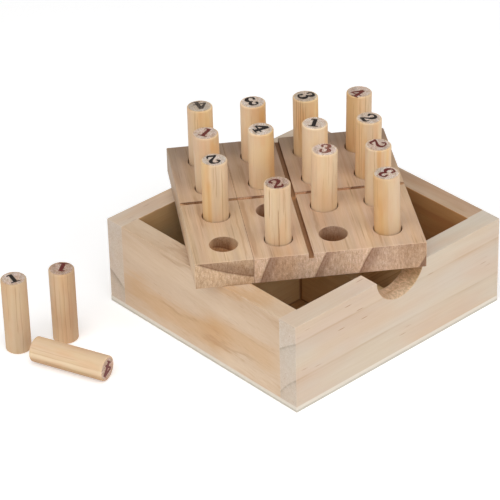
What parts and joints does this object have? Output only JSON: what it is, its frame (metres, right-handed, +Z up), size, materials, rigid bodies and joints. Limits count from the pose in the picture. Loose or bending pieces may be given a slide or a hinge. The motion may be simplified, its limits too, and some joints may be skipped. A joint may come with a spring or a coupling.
{
  "type": "number peg puzzle",
  "caption": "Square wooden box puzzle: a grooved peg board with blind holes lies across an open compartment box and holds round number pegs.",
  "frame": {"origin": "middle of the box's underside, on the surface that the box stands on", "axes": "+Z up; the box wall with the finger notch faces -Y; +X along that wall"},
  "size_m": [0.1974, 0.1456, 0.0878],
  "materials": {
    "wall_pine": "sanded raw pine",
    "base_panel": "pale thin panel",
    "divider_pine": "sawn raw pine",
    "board_pine": "sanded raw pine",
    "peg_dowel": "smooth raw dowel",
    "ink_black": "stamped ink on end grain",
    "ink_red": "stamped ink on end grain"
  },
  "bodies": {
    "box": {"box_base": "base_panel", "box_divider_front_to_back": "divider_pine", "box_divider_left_to_right": "divider_pine", "box_wall_back": "wall_pine", "box_wall_front": "wall_pine", "box_wall_left": "wall_pine", "box_wall_right": "wall_pine"},
    "peg_board": {"board_stave_narrow": "board_pine", "board_stave_wide": "board_pine"},
    "peg_loose_a_black_1": {"peg_loose_a_black_1": "peg_dowel"},
    "peg_loose_b_red_1": {"peg_loose_b_red_1": "peg_dowel"},
    "peg_loose_c_red_4": {"peg_loose_c_red_4": "peg_dowel"},
    "peg_r1_c1_black_4": {"peg_r1_c1_black_4": "peg_dowel"},
    "peg_r1_c2_black_3": {"peg_r1_c2_black_3": "peg_dowel"},
    "peg_r1_c3_black_3": {"peg_r1_c3_black_3": "peg_dowel"},
    "peg_r1_c4_red_4": {"peg_r1_c4_red_4": "peg_dowel"},
    "peg_r2_c1_red_1": {"peg_r2_c1_red_1": "peg_dowel"},
    "peg_r2_c2_black_4": {"peg_r2_c2_black_4": "peg_dowel"},
    "peg_r2_c3_black_1": {"peg_r2_c3_black_1": "peg_dowel"},
    "peg_r2_c4_black_2": {"peg_r2_c4_black_2": "peg_dowel"},
    "peg_r3_c1_black_2": {"peg_r3_c1_black_2": "peg_dowel"},
    "peg_r3_c3_red_3": {"peg_r3_c3_red_3": "peg_dowel"},
    "peg_r3_c4_red_2": {"peg_r3_c4_red_2": "peg_dowel"},
    "peg_r4_c2_red_2": {"peg_r4_c2_red_2": "peg_dowel"},
    "peg_r4_c4_red_3": {"peg_r4_c4_red_3": "peg_dowel"}
  },
  "joints": [
    {"name": "peg_board_lift", "type": "slide", "parent": "box", "child": "peg_board", "axis": [0, 0, 1], "range_m": [0, 0.06]},
    {"name": "peg_loose_a_black_1_lift", "type": "slide", "parent": "box", "child": "peg_loose_a_black_1", "axis": [0, 0, 1], "range_m": [0, 0.04]},
    {"name": "peg_loose_b_red_1_lift", "type": "slide", "parent": "box", "child": "peg_loose_b_red_1", "axis": [0, 0, 1], "range_m": [0, 0.04]},
    {"name": "peg_loose_c_red_4_lift", "type": "slide", "parent": "box", "child": "peg_loose_c_red_4", "axis": [0, 0, 1], "range_m": [0, 0.04]},
    {"name": "peg_r1_c1_black_4_lift", "type": "slide", "parent": "peg_board", "child": "peg_r1_c1_black_4", "axis": [0, 0, 1], "range_m": [0, 0.04]},
    {"name": "peg_r1_c2_black_3_lift", "type": "slide", "parent": "peg_board", "child": "peg_r1_c2_black_3", "axis": [0, 0, 1], "range_m": [0, 0.04]},
    {"name": "peg_r1_c3_black_3_lift", "type": "slide", "parent": "peg_board", "child": "peg_r1_c3_black_3", "axis": [0, 0, 1], "range_m": [0, 0.04]},
    {"name": "peg_r1_c4_red_4_lift", "type": "slide", "parent": "peg_board", "child": "peg_r1_c4_red_4", "axis": [0, 0, 1], "range_m": [0, 0.04]},
    {"name": "peg_r2_c1_red_1_lift", "type": "slide", "parent": "peg_board", "child": "peg_r2_c1_red_1", "axis": [0, 0, 1], "range_m": [0, 0.04]},
    {"name": "peg_r2_c2_black_4_lift", "type": "slide", "parent": "peg_board", "child": "peg_r2_c2_black_4", "axis": [0, 0, 1], "range_m": [0, 0.04]},
    {"name": "peg_r2_c3_black_1_lift", "type": "slide", "parent": "peg_board", "child": "peg_r2_c3_black_1", "axis": [0, 0, 1], "range_m": [0, 0.04]},
    {"name": "peg_r2_c4_black_2_lift", "type": "slide", "parent": "peg_board", "child": "peg_r2_c4_black_2", "axis": [0, 0, 1], "range_m": [0, 0.04]},
    {"name": "peg_r3_c1_black_2_lift", "type": "slide", "parent": "peg_board", "child": "peg_r3_c1_black_2", "axis": [0, 0, 1], "range_m": [0, 0.04]},
    {"name": "peg_r3_c3_red_3_lift", "type": "slide", "parent": "peg_board", "child": "peg_r3_c3_red_3", "axis": [0, 0, 1], "range_m": [0, 0.04]},
    {"name": "peg_r3_c4_red_2_lift", "type": "slide", "parent": "peg_board", "child": "peg_r3_c4_red_2", "axis": [0, 0, 1], "range_m": [0, 0.04]},
    {"name": "peg_r4_c2_red_2_lift", "type": "slide", "parent": "peg_board", "child": "peg_r4_c2_red_2", "axis": [0, 0, 1], "range_m": [0, 0.04]},
    {"name": "peg_r4_c4_red_3_lift", "type": "slide", "parent": "peg_board", "child": "peg_r4_c4_red_3", "axis": [0, 0, 1], "range_m": [0, 0.04]}
  ]
}
